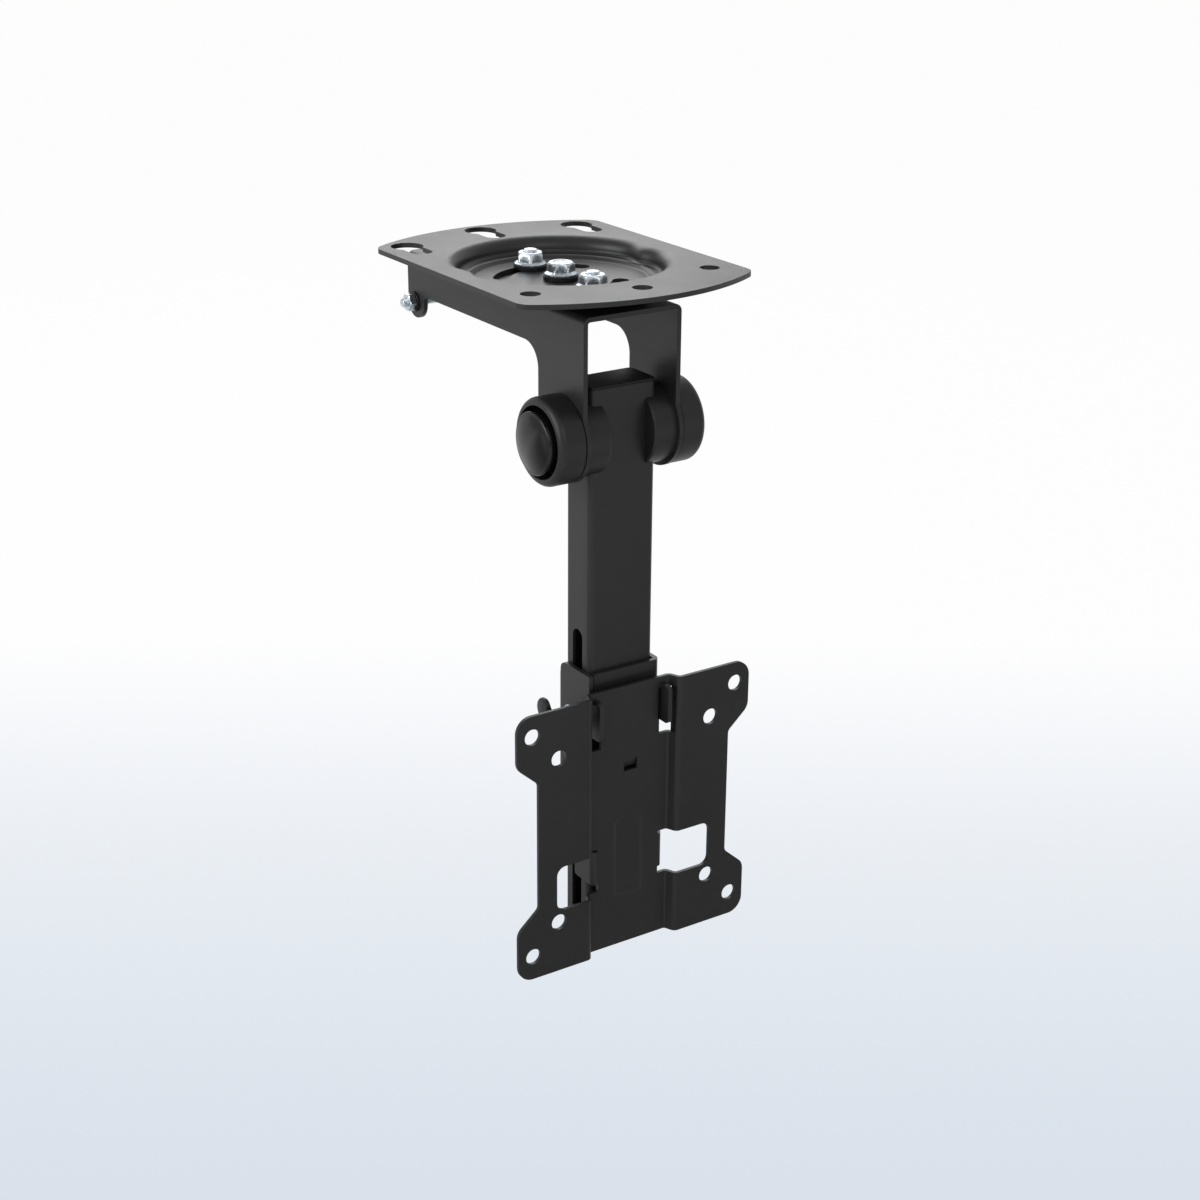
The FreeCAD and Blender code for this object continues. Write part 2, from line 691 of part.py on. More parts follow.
def right_fold_ear():
    """The ear folded back along the tube's side, a gusset that is longest at its lower edge."""
    high = screen_z + window_top - fold_ear_top_gap
    low = screen_z + window_bottom + fold_ear_low_gap
    end = screen_back + fold_ear_reach
    root = sleeve_outer_x - screen_sheet - screen_bend_r - screen_sheet
    line = [(sleeve_outer_x, end, 0), (sleeve_outer_x, screen_front, screen_bend_r), (root, screen_front, 0)]
    side = [(screen_front - beyond, high, 0), (screen_back + screen_bend_r, high, fold_ear_corner_r),
            (end, low + fold_ear_end_tall, fold_ear_corner_r), (end, low, fold_ear_corner_r),
            (screen_front - beyond, low, 0)]
    return slab("Z", bent(line, screen_sheet), low, high).common(slab("X", side, 0, sleeve_outer_x + beyond))


def recess(low_y, high_y):
    """The upright pressed panel's outline, between two places along Y."""
    x = panel_half_width
    low = screen_z + panel_bottom
    high = screen_z + panel_top
    corners = [(a, b, panel_corner_r) for a, b in ((-x, low), (x, low), (x, high), (-x, high))]
    return slab("Y", corners, low_y, high_y)


def latch_tab():
    """The tab lanced out of the latch hole and bent back from its top edge."""
    top = screen_z + latch_height + latch_tall / 2
    low = top - latch_tab_tall
    corners = [(screen_front, top, 0), (screen_back, top, 0), (screen_back + latch_tab_lean, low, 0),
               (screen_front + latch_tab_lean, low, 0)]
    return slab("X", corners, latch_x - latch_width / 2, latch_x + latch_width / 2)


def screen_plate():
    """Joggled plate with screw holes, hook slots, latch hole, pressed panel, windows and folded ears."""
    line = [(screen_half_width, flange_front, 0), (joggle_outer_x, flange_front, screen_bend_r),
            (joggle_inner_x, screen_front, screen_bend_r), (-joggle_inner_x, screen_front, screen_bend_r),
            (-joggle_outer_x, flange_front, screen_bend_r), (-screen_half_width, flange_front, 0)]
    plate = slab("Z", bent(line, screen_sheet), screen_bottom, screen_top).common(screen_outline())
    front = flange_front - beyond
    back = screen_back + beyond
    panel = recess(front, screen_front + panel_press)
    panel_floor = [edge for edge in panel.Edges if edge.BoundBox.YMin > screen_front]
    cuts = [right_window(), mirrored(right_window()), panel.makeFillet(panel_edge_r, panel_floor)]
    for grid in (screw_grid_large, screw_grid_small):
        for x in (-grid / 2, grid / 2):
            for z in (screen_z - grid / 2, screen_z + grid / 2):
                cuts.append(drum("Y", x, z, screen_hole_r, front, back))
    slot = box((hook_slot_inner_x, front, screen_z + hook_slot_low),
               (hook_slot_outer_x, back, screen_z + hook_top))
    latch = box((latch_x - latch_width / 2, front, screen_z + latch_height - latch_tall / 2),
                (latch_x + latch_width / 2, back, screen_z + latch_height + latch_tall / 2))
    cuts += [slot, mirrored(slot), latch]
    pressed = recess(screen_front + panel_press, screen_back + panel_press)
    return fuse_all([plate.cut(cuts), pressed, latch_tab(), right_fold_ear(), mirrored(right_fold_ear())])


def both(make):
    """Two separate pieces, one in front of the swivel axis and one behind it."""
    return Part.makeCompound([make(-arc_slot_r), make(arc_slot_r)])


def washer_stack(height, radius, y):
    """A thick washer on the dish's floor under a swivel or guide nut."""
    return ring("Z", 0, y, radius, m6_hole_r, dish_floor, dish_floor + height)


def ear_washer():
    """The washer on the right ear."""
    return ring("X", cross_y, ear_z, m4_washer_r, m4_hole_r, arm_half_width, arm_half_width + m4_washer_height)


def right_clamp_washer():
    """The washer on the sleeve's right side."""
    seat = sleeve_outer_x
    return ring("X", pivot_y, clamp_z, clamp_washer_r, m6_hole_r, seat, seat + clamp_washer_height)


nodes = {
    "ceiling_plate": ceiling_plate(),
    "swivel_bolt": swivel_bolt(0),
    "swivel_washer": washer_stack(swivel_washer_height, swivel_washer_r, 0),
    "swivel_nut": flange_nut(0, dish_floor + swivel_washer_height),
    "guide_bolts": both(swivel_bolt),
    "guide_washers": both(lambda y: washer_stack(guide_washer_height, guide_washer_r, y)),
    "guide_nuts": both(lambda y: flange_nut(y, dish_floor + guide_washer_height)),
    "arm_bracket": arm_bracket(),
    "pivot_bolt": pivot_bolt(),
    "pivot_nut": pivot_nut(),
    "left_cap": mirrored(right_cap()),
    "right_cap": right_cap(),
    "left_button": mirrored(right_button()),
    "right_button": right_button(),
    "left_spacer": mirrored(right_spacer()),
    "right_spacer": right_spacer(),
    "cross_bolt": cross_bolt(),
    "cross_bolt_nut": cross_bolt_nut(),
    "cross_bolt_washers": Part.makeCompound([mirrored(ear_washer()), ear_washer()]),
    "tube": tube(),
    "top_plug": end_plug(tube_top, -1),
    "bottom_plug": end_plug(tube_bottom, 1),
    "sleeve": sleeve(),
    "wing_grip": wing_grip(),
    "wing_stud": wing_stud(),
    "wing_washer": mirrored(right_clamp_washer()),
    "clamp_washer": right_clamp_washer(),
    "clamp_nut": clamp_nut(),
    "screen_plate": screen_plate(),
}

os.makedirs("parts", exist_ok=True)
for name, shape in nodes.items():
    shape.exportStep("parts/" + name + ".step")
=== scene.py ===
import json
from math import radians

import bmesh
import bpy
import numpy as np
from mathutils import Matrix, Vector
from mathutils.geometry import delaunay_2d_cdt


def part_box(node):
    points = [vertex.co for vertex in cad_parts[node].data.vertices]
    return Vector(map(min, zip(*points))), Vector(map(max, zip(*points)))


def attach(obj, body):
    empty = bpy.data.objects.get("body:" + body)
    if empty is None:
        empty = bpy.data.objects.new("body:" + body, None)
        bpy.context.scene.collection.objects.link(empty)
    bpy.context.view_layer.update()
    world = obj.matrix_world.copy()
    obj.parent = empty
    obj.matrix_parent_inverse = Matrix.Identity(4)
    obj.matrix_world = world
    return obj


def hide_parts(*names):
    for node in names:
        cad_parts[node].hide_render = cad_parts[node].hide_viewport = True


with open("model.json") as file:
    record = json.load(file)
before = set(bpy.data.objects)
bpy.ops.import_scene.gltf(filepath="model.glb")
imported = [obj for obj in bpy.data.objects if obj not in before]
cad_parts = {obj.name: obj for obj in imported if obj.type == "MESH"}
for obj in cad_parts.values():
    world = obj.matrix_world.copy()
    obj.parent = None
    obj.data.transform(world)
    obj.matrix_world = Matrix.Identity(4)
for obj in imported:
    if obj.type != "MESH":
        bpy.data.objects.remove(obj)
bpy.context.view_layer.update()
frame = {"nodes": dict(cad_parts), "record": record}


# Room: a pale sheet of floor and wall in one, white far off and pale blue near the viewer. It stands
# for the plain studio and isn't part of the mount.
class Wire:
    """A socket in a material's tree. Sums of wires add Math nodes, and node() adds any other node."""

    def __init__(self, tree, socket=None):
        self.tree = tree
        self.socket = socket

    def node(self, kind, settings, inputs, output=0):
        """A new node of a kind: its settings are set first, then the values or wires of its sockets."""
        made = self.tree.nodes.new(kind)
        for name, value in settings.items():
            if name == "stops":
                ramp = made.color_ramp.elements
                while len(ramp) < len(value):
                    ramp.new(0.5)
                for element, (position, colour) in zip(ramp, value):
                    element.position = position
                    element.color = (*colour, 1.0)
            else:
                setattr(made, name, value)
        for name, value in inputs.items():
            if isinstance(value, Wire):
                self.tree.links.new(value.socket, made.inputs[name])
            else:
                made.inputs[name].default_value = value
        return Wire(self.tree, made.outputs[output] if len(made.outputs) else None)

    def maths(self, operation, first, second):
        """One Math node with two values or wires."""
        return self.node("ShaderNodeMath", {"operation": operation}, {0: first, 1: second})

    def __add__(self, other):
        return self.maths("ADD", self, other)

    __radd__ = __add__

    def __sub__(self, other):
        return self.maths("SUBTRACT", self, other)

    def __rsub__(self, other):
        return self.maths("SUBTRACT", other, self)

    def __mul__(self, other):
        return self.maths("MULTIPLY", self, other)

    __rmul__ = __mul__


def fresh(name):
    """A new empty material and the wire that starts its tree."""
    material = bpy.data.materials.new(name)
    material.use_nodes = True
    material.node_tree.nodes.clear()
    return material, Wire(material.node_tree)


def finish_with(start, shader):
    """Leads a shader to the material's output."""
    start.node("ShaderNodeOutputMaterial", {}, {"Surface": shader})


def surface(name, points):
    """A mesh object from a grid of points, in which each four neighbours make a face."""
    count, across = points.shape[:2]
    ids = np.arange(count * across).reshape(count, across)
    faces = np.stack([ids[:-1, :-1], ids[:-1, 1:], ids[1:, 1:], ids[1:, :-1]], axis=-1)
    mesh = bpy.data.meshes.new(name)
    mesh.from_pydata(points.reshape(-1, 3).tolist(), [], faces.reshape(-1, 4).tolist())
    made = bpy.data.objects.new(name, mesh)
    bpy.context.scene.collection.objects.link(made)
    return made


def pale_room(name):
    """Three shaders, one for each kind of ray: the camera sees pale blue that turns white far off, metal
    mirrors greys that change with the same distance, and light falls on plain pale grey."""
    material, start = fresh(name)
    place = start.node("ShaderNodeTexCoord", {}, {}, "Object")
    into_view = (0.553, 0.833, 0.0)
    away = start.node("ShaderNodeVectorMath", {"operation": "DOT_PRODUCT"},
                      {0: place, 1: into_view}, "Value")
    seen_range = {"Value": away, "From Min": -0.05, "From Max": 0.60}
    near_to_far = start.node("ShaderNodeMapRange", {}, seen_range)
    tone = start.node("ShaderNodeValToRGB", {"stops": [
        (0.0, (0.701, 0.753, 0.831)), (0.13, (0.723, 0.776, 0.847)), (0.26, (0.753, 0.807, 0.871)),
        (0.42, (0.799, 0.839, 0.888)), (0.62, (0.863, 0.888, 0.930)), (0.85, (0.956, 0.965, 0.982)),
        (1.0, (1.0, 1.0, 1.0))]}, {"Fac": near_to_far}, "Color")
    mirrored_range = {"Value": away, "From Min": -0.5, "From Max": 1.0}
    far_off = start.node("ShaderNodeMapRange", {}, mirrored_range)
    grey = start.node("ShaderNodeValToRGB", {"stops": [
        (0.0, (0.68, 0.68, 0.68)), (0.10, (0.58, 0.58, 0.58)), (0.17, (0.42, 0.42, 0.42)),
        (0.22, (0.22, 0.22, 0.22)), (0.34, (0.36, 0.36, 0.36)), (0.45, (0.62, 0.62, 0.62)),
        (0.53, (0.80, 0.80, 0.80)), (0.62, (0.95, 0.95, 0.95)), (0.75, (0.75, 0.75, 0.75)),
        (1.0, (0.66, 0.66, 0.66))]}, {"Fac": far_off}, "Color")
    seen = start.node("ShaderNodeLightPath", {}, {}, "Is Camera Ray")
    glossy = start.node("ShaderNodeLightPath", {}, {}, "Is Glossy Ray")
    lit = start.node("ShaderNodeBsdfDiffuse", {}, {"Color": (0.8, 0.8, 0.8, 1.0)})
    mirrored = start.node("ShaderNodeEmission", {}, {"Color": grey, "Strength": 1.0})
    plain = start.node("ShaderNodeEmission", {}, {"Color": tone, "Strength": 1.0})
    unseen = start.node("ShaderNodeMixShader", {}, {0: glossy, 1: lit, 2: mirrored})
    own_light = 0.97
    finish_with(start, start.node("ShaderNodeMixShader", {}, {
        0: own_light * seen, 1: unseen, 2: plain}))
    return material


view_turn = radians(33.57)
room_half = 6.0
room_floor = -0.42
wall_y = 6.0
wall_top = room_floor + 2 * room_half
wall_bend_r = 2.0
wall_bend = np.radians(np.linspace(0, 90, 25))
# The sheet's section is the floor, a quarter circle and the wall, and it is carried straight across.
bend_line = np.column_stack([wall_y - wall_bend_r + wall_bend_r * np.sin(wall_bend),
                             room_floor + wall_bend_r - wall_bend_r * np.cos(wall_bend)])
room_line = np.concatenate([[[-room_half, room_floor]], bend_line, [[wall_y, wall_top]]])
room_sides = np.array([-2 * room_half, 2 * room_half])
room_grid = (len(room_line), 2)
room = surface("room", np.stack([np.broadcast_to(room_sides, room_grid),
                                 np.broadcast_to(room_line[:, :1], room_grid),
                                 np.broadcast_to(room_line[:, 1:], room_grid)], axis=-1))
room.data.shade_smooth()
room.data.transform(Matrix.Rotation(-view_turn, 4, "Z"))
room.data.materials.append(pale_room("pale_room"))

# Camera: at the photograph's place and angle, worked out from the screen plate's holes and edges. The
# view is turned, tilted and rolled in that order, and lens and sensor are in millimetres.
eye = Vector((-0.4498, -0.7077, 0.1881))
view_tilt = radians(21.74)
view_roll = radians(0.41)
turned = (Matrix.Rotation(view_roll, 3, "Y") @ Matrix.Rotation(view_tilt, 3, "X")
          @ Matrix.Rotation(view_turn, 3, "Z"))
right, ahead, up = turned
camera = bpy.data.objects.new("camera", bpy.data.cameras.new("camera"))
camera.data.lens = 63.9
camera.data.sensor_width = 36.0
camera.matrix_world = Matrix.Translation(eye) @ Matrix((right, up, -ahead)).transposed().to_4x4()
bpy.context.scene.collection.objects.link(camera)
bpy.context.scene.camera = camera


# Lamps: three wide soft boxes, behind, to the left and in front, in an even white surrounding. They
# light the mount at a plain level, so that colours come out about as they are written.
def lamp(name, place, aim, size, power):
    """A square area lamp that faces a point."""
    data = bpy.data.lights.new(name, "AREA")
    data.size = size
    data.energy = power
    made = bpy.data.objects.new(name, data)
    facing = (Vector(aim) - Vector(place)).to_track_quat("-Z", "Y")
    made.matrix_world = Matrix.Translation(place) @ facing.to_matrix().to_4x4()
    bpy.context.scene.collection.objects.link(made)


mount_middle = (0.0, 0.0, -0.14)
lamp("back_box", (0.5, 1.3, 0.9), mount_middle, 1.2, 10.0)
lamp("left_box", (-1.4, 0.1, 0.5), mount_middle, 0.9, 9.0)
lamp("front_box", (-0.3, -1.6, 0.9), mount_middle, 0.8, 3.0)
world = bpy.data.worlds.new("studio")
world.use_nodes = True
surrounding = world.node_tree.nodes["Background"].inputs
surrounding["Color"].default_value = (1.0, 1.0, 1.0, 1.0)
surrounding["Strength"].default_value = 0.42
bpy.context.scene.world = world
bpy.context.scene.view_settings.view_transform = "Standard"


# Ceiling plate: one steel sheet of 2 mm, blanked with its keyholes and screw holes, then pressed into
# a stepped round dish with soft bends, and powder coated satin black.
mm = 0.001
edge_angle = radians(32)
body_of = {node: body for body, nodes in frame["record"]["behaviour"]["bodies"].items()
           for node in nodes}


def stand_for(piece, node, material):
    """Gives a piece its material and its node's body, and hides the node."""
    piece.data.materials.clear()
    piece.data.materials.append(material)
    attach(piece, body_of[node])
    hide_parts(node)


def round_edges(piece, edge):
    """Rounds a piece's sharp edges by a bevel as wide as the edge value."""
    rounding = piece.modifiers.new("edge_rounding", "BEVEL")
    rounding.width = edge * mm
    rounding.segments = 2
    rounding.limit_method = "ANGLE"
    rounding.angle_limit = edge_angle
    rounding.harden_normals = True


def powder_coat(name, colour, rough, peel):
    """Satin black powder coat: cloudy gloss, a faint change of tone and a fine orange peel."""
    material, start = fresh(name)
    place = start.node("ShaderNodeTexCoord", {}, {}, "Object")
    ripple = start.node("ShaderNodeTexNoise", {}, {
        "Vector": place, "Scale": 1500.0, "Detail": 3.0}, "Fac")
    cloud = start.node("ShaderNodeTexNoise", {}, {
        "Vector": place, "Scale": 40.0, "Detail": 4.0}, "Fac")
    speck = start.node("ShaderNodeTexNoise", {}, {
        "Vector": place, "Scale": 2600.0, "Detail": 1.0}, "Fac")
    dull = tuple(0.8 * c for c in colour)
    bright = tuple(1.2 * c for c in colour)
    tone = start.node("ShaderNodeValToRGB", {"stops": [(0.3, dull), (0.7, bright)]},
                      {"Fac": 0.5 * cloud + 0.5 * speck}, "Color")
    bump = start.node("ShaderNodeBump", {}, {
        "Height": ripple + 0.4 * speck, "Strength": peel, "Distance": 0.00012}, "Normal")
    finish_with(start, start.node("ShaderNodeBsdfPrincipled", {}, {
        "Base Color": tone, "Roughness": rough + 0.14 * (cloud - 0.5), "Normal": bump}))
    return material


def box_mm(node):
    """A node's lowest and highest corners in millimetres."""
    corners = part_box(node)
    return np.array(corners[0]) / mm, np.array(corners[1]) / mm


def arc(x, y, r, start, end, count):
    """Points of an arc: its centre plus its radius times the cosine and sine of even turns."""
    turns = np.radians(np.linspace(start, end, count))
    return np.column_stack([x + r * np.cos(turns), y + r * np.sin(turns)])


def hole(x, y, r):
    """The loop of a round hole, a point every ten degrees."""
    return arc(x, y, r, 0, 350, 36)


def keyhole(x, y, head_r, neck_half, travel):
    """The loop of a keyhole: its head's arc behind, then the round end of its neck in front."""
    side = np.degrees(np.arccos(neck_half / head_r))
    return np.concatenate([arc(x, y, head_r, -side, 180 + side, 40),
                           arc(x, y - travel, neck_half, 180, 360, 24)])


def flat_part(loops, height):
    """Points and triangles of a flat part of the sheet: what lies inside the first loop and outside
    the others, filled by a triangulation that keeps the loops' edges."""
    lengths = [len(loop) for loop in loops]
    rings = np.split(np.arange(sum(lengths)), np.cumsum(lengths)[:-1])
    points = np.concatenate(loops).tolist()
    inside_only = 2
    found = delaunay_2d_cdt(points, [], [ring.tolist() for ring in rings], inside_only, 1e-6)
    flat = np.array([point[:] for point in found[0]])
    return np.column_stack([flat, np.full(len(flat), height)]), np.array(found[2])


def open_sheet(name, grid, flat_parts):
    """One open sheet from a grid and flat parts: where they meet they are merged, and it faces up."""
    made = surface(name, grid * mm)
    work = bmesh.new()
    work.from_mesh(made.data)
    for points, faces in flat_parts:
        flat = bpy.data.meshes.new(name + "_flat")
        flat.from_pydata((points * mm).tolist(), [], faces.tolist())
        work.from_mesh(flat)
    bmesh.ops.remove_doubles(work, verts=work.verts, dist=0.004 * mm)
    bmesh.ops.recalc_face_normals(work, faces=work.faces)
    if sum(face.normal.z for face in work.faces) < 0:
        bmesh.ops.reverse_faces(work, faces=work.faces)
    work.to_mesh(made.data)
    work.free()
    made.data.shade_smooth()
    return made


plate_low, plate_high = box_mm("ceiling_plate")
half_width, half_length = plate_high[:2]
sheet = 2.0
# The blank has straight sides and bowed ends, and small arcs join them at the corners.
corner_r = 7.0
end_r = 96.0
rise = ((end_r - corner_r) ** 2 - (half_width - corner_r) ** 2) ** 0.5
bow = np.degrees(np.arctan2(rise, half_width - corner_r))
corner_y = half_length - end_r + rise
back_half = np.concatenate([
    arc(half_width - corner_r, corner_y, corner_r, 0, bow, 14),
    arc(0, half_length - end_r, end_r, bow, 180 - bow, 60)[1:-1],
    arc(corner_r - half_width, corner_y, corner_r, 180 - bow, 180, 14)])
blank = np.concatenate([back_half, -back_half])
# The dish's section falls from its rim to a narrow ledge, and by a smooth step to its floor: each bend
# is a quarter of an ellipse, and the step falls by three times its square less twice its cube.
rim_r = 41.2
rim_width = 5.2
rim_drop = 5.0
ledge_width = 1.9
ledge_bend = 1.5
ledge_height = 1.7
step_r = 37.6
step_width = 2.8
dish_z = plate_low[2] + sheet
ledge_z = dish_z + ledge_height
quarter = np.radians(np.linspace(0, 90, 13))
rim_section = np.column_stack([rim_r + rim_width * (1 - np.sin(quarter)),
                               -rim_drop * (1 - np.cos(quarter))])
ledge_section = np.column_stack([rim_r - ledge_width * (1 - np.cos(quarter)),
                                 ledge_z + ledge_bend * (1 - np.sin(quarter))])
fall = np.linspace(0, 1, 9)
step_section = np.column_stack([step_r - step_width * fall,
                                ledge_z + (dish_z - ledge_z) * fall ** 2 * (3 - 2 * fall)])
dish_section = np.concatenate([rim_section, ledge_section, step_section])
# The section is turned round the middle. Two dents, left and right, draw the rim inwards by a bell
# curve of the angle from the dent's middle, which starts at dent_foot and is whole from dent_head out.
dent_turn = np.radians(1.96)
dent_depth = 2.8
dent_spread = 0.16
dent_foot = 37.0
dent_head = 40.0
around = np.radians(np.linspace(0, 360, 289))
from_dent = np.minimum(np.abs(np.angle(np.exp(1j * (around - dent_turn)))),
                       np.abs(np.angle(np.exp(1j * (around - np.pi + dent_turn)))))
dent = dent_depth * np.exp(-(from_dent / dent_spread) ** 2)
dent_share = np.clip((dish_section[:, :1] - dent_foot) / (dent_head - dent_foot), 0, 1)
dish_r = dish_section[:, :1] - dent_share * dent
dish = np.stack([dish_r * np.cos(around), dish_r * np.sin(around),
                 np.broadcast_to(dish_section[:, 1:], dish_r.shape)], axis=-1)
screw_r = 4.0
screw_holes = [hole(x, y, screw_r) for x, y in ((-41.3, -43.8), (41.3, -43.8), (0.0, -57.4))]
keyholes = [keyhole(x, y, head_r=6.7, neck_half=4.5, travel=12.0)
            for x, y in ((-41.0, 52.3), (41.0, 52.3), (0.0, 63.2))]
swivel_hole = hole(0, 0, 3.2)
slot_half = 3.4
slot_r = 24.0
slot_end = 53.0
(left_x, left_y), (right_x, right_y) = arc(0, 0, slot_r, 90 + slot_end, 90 - slot_end, 2)
back_slot = np.concatenate([
    arc(0, 0, slot_r + slot_half, 90 - slot_end, 90 + slot_end, 40),
    arc(left_x, left_y, slot_half, 90 + slot_end, 270 + slot_end, 14)[1:-1],
    arc(0, 0, slot_r - slot_half, 90 + slot_end, 90 - slot_end, 40),
    arc(right_x, right_y, slot_half, -90 - slot_end, 90 - slot_end, 14)[1:-1]])
dish_rim = dish[0, :-1, :2]
dish_floor = dish[-1, :-1, :2]
plate = open_sheet("pressed_ceiling_plate", dish, [
    flat_part([blank, dish_rim] + screw_holes + keyholes, 0.0),
    flat_part([dish_floor, back_slot, -back_slot, swivel_hole], dish_z)])
thickness = plate.modifiers.new("sheet", "SOLIDIFY")
thickness.thickness = sheet * mm
thickness.offset = -1.0
thickness.use_even_offset = True
round_edges(plate, 0.3)
stand_for(plate, "ceiling_plate", powder_coat("plate_powder_coat", (0.025, 0.025, 0.026), 0.37, 0.6))


# Swivel and guide bolts: M6 hexagon bolts with rolled threads, bright zinc plated, their heads under
# the arm and their tips just below the ceiling.
turn_steps = 97
pole_r = 0.001


def spin(name, axis, centre, reach, along):
    """A surface round an axis: a point is its reach times the cosine and sine of its turn, at its
    row's height. The seam is merged, and so is each row at the pole's radius, which closes it."""
    turns = np.linspace(0, 2 * np.pi, reach.shape[1])
    first = reach * np.cos(turns)
    second = reach * np.sin(turns)
    height = np.broadcast_to(along[:, None], reach.shape)
    if axis == "X":
        points = np.stack([height, first + centre[0], second + centre[1]], axis=-1)
    else:
        points = np.stack([first + centre[0], second + centre[1], height], axis=-1)
    made = surface(name, points * mm)
    work = bmesh.new()
    work.from_mesh(made.data)
    bmesh.ops.remove_doubles(work, verts=work.verts, dist=2.5 * pole_r * mm)
    bmesh.ops.recalc_face_normals(work, faces=work.faces)
    work.to_mesh(made.data)
    work.free()
    made.data.shade_smooth()
    made.data.set_sharp_from_angle(angle=edge_angle)
    return made


def joined(name, pieces):
    """One object from several."""
    bpy.ops.object.select_all(action="DESELECT")
    for piece in pieces:
        piece.select_set(True)
    bpy.context.view_layer.objects.active = pieces[0]
    bpy.ops.object.join()
    pieces[0].name = name
    pieces[0].data.name = name
    return pieces[0]


def round_rows(section):
    """Rows of equal reach from a section's points, each a reach and a height."""
    section = np.array(section)
    return np.repeat(section[:, :1], turn_steps, axis=1), section[:, 1]


def six_sided(reach, flats, turn=0.0):
    """Reaches cut down to a hexagon: half the flats over the cosine of the way to the nearest flat's
    middle. A power mean of the two takes the smaller one and leaves the corners a touch soft."""
    turns = np.linspace(0, 2 * np.pi, reach.shape[1])
    to_middle = np.mod(turns - turn, np.pi / 3) - np.pi / 6
    hexagon = flats / 2 / np.cos(to_middle)
    power = 40.0
    return (reach ** -power + hexagon ** -power) ** (-1 / power)


def thread_rows(crest, pitch, start, end):
    """A rolled thread: the reach falls from the crest by a triangle wave of height and turn, whose tips
    are clipped flat."""
    depth = 0.55 * pitch
    rows_a_turn = 9
    clipped = 0.125
    height = np.linspace(start, end, int(abs(end - start) / pitch * rows_a_turn) + 2)
    turns = np.linspace(0, 1, turn_steps)
    phase = np.mod(height[:, None] / pitch - turns, 1)
    wave = np.clip((1 + 2 * clipped) * np.abs(2 * phase - 1) - clipped, 0, 1)
    return crest - depth * wave, height


def stacked(*parts):
    """One run of rows from several."""
    return (np.concatenate([reach for reach, along in parts]),
            np.concatenate([along for reach, along in parts]))


def hexagon_bolt(name, axis, centre, crest, pitch, flats, seat, head, tip):
    """A bolt along an axis: hexagon head with its outer corners chamfered, thread and tapered tip."""
    forward = 1 if tip > seat else -1
    top = seat - forward * head
    corner = flats / 3 ** 0.5
    past_corner = corner + 0.1
    face_r = 0.49 * flats
    edge = 0.18
    chamfer = edge + 0.6 * (corner - flats / 2)
    crown, levels = round_rows([
        (pole_r, top), (0.42 * flats, top), (0.47 * flats, top + forward * 0.05),
        (face_r, top + forward * edge), (past_corner, top + forward * chamfer),
        (past_corner, seat - forward * 0.15), (face_r, seat)])
    taper = 0.12 * crest
    shank = thread_rows(crest, pitch, seat, tip - forward * taper)
    end = round_rows([
        (0.82 * crest, tip - forward * 0.3 * taper), (0.7 * crest, tip), (pole_r, tip)])
    return spin(name, axis, centre, *stacked((six_sided(crown, flats), levels), shank, end))


def bright_zinc(name):
    """Bright zinc plate: a cool pale metal with fine scratches and an uneven gloss."""
    material, start = fresh(name)
    place = start.node("ShaderNodeTexCoord", {}, {}, "Object")
    cloud = start.node("ShaderNodeTexNoise", {}, {
        "Vector": place, "Scale": 650.0, "Detail": 4.0}, "Fac")
    grain = start.node("ShaderNodeTexNoise", {}, {
        "Vector": place, "Scale": 3500.0, "Detail": 2.0}, "Fac")
    tone = start.node("ShaderNodeValToRGB", {"stops": [
        (0.35, (0.62, 0.72, 0.79)), (0.65, (0.91, 0.95, 0.99))]}, {"Fac": cloud}, "Color")
    bump = start.node("ShaderNodeBump", {}, {
        "Height": grain + cloud, "Strength": 0.6, "Distance": 0.0001}, "Normal")
    finish_with(start, start.node("ShaderNodeBsdfPrincipled", {}, {
        "Base Color": tone, "Metallic": 1.0, "Roughness": 0.22 + 0.25 * (grain - 0.3),
        "Normal": bump}))
    return material


zinc = bright_zinc("bright_zinc_plate")
m6_crest = 2.98
m6_pitch = 1.0
m6_flats = 10.0
m6_head = 4.0
bolt_low, bolt_high = box_mm("swivel_bolt")
head_seat = bolt_low[2] + m6_head
swivel_tip = box_mm("swivel_nut")[1][2] + 0.05
guide_tip = bolt_high[2]
guide_y = box_mm("guide_bolts")[1][1] - m6_flats / 3 ** 0.5
stand_for(hexagon_bolt("swivel_bolt_zinc", "Z", (0, 0), m6_crest, m6_pitch, m6_flats,
                       head_seat, m6_head, swivel_tip), "swivel_bolt", zinc)
stand_for(joined("guide_bolts_zinc", [
    hexagon_bolt("guide_bolt", "Z", (0, y), m6_crest, m6_pitch, m6_flats,
                 head_seat, m6_head, guide_tip)
    for y in (-guide_y, guide_y)]), "guide_bolts", zinc)


# Nuts in the dish: M6 flange nuts, pressed and zinc plated. The swivel's nut is tightened flush with
# its bolt's end, and the guide nuts leave the bolts' ends proud.
def flange_nut(name, y, seat, top, chamfer, turn):
    """A flange nut, by reach and height over its seat: thin flange, cone skirt, hexagon with its
    corners chamfered round, flat top and bevelled bore."""
    past_corner = m6_flats / 3 ** 0.5 + 0.1
    bore_r = m6_crest - 0.1
    flange_r = 6.6
    skirt_r = 5.75
    skirt = round_rows([
        (bore_r, seat), (flange_r - 0.2, seat), (flange_r, seat + 0.2), (flange_r, seat + 0.65),
        (flange_r - 0.2, seat + 0.85), (skirt_r, seat + 1.2)])
    body, levels = round_rows([
        (past_corner, seat + 1.5), (past_corner, top - chamfer), (4.95, top - 0.28 * chamfer),
        (4.75, top - 0.08), (4.6, top), (m6_crest + 0.35, top), (bore_r, top - 0.35)])
    bore = round_rows([(bore_r, seat)])
    return spin(name, "Z", (0, y), *stacked(skirt, (six_sided(body, m6_flats, turn), levels), bore))


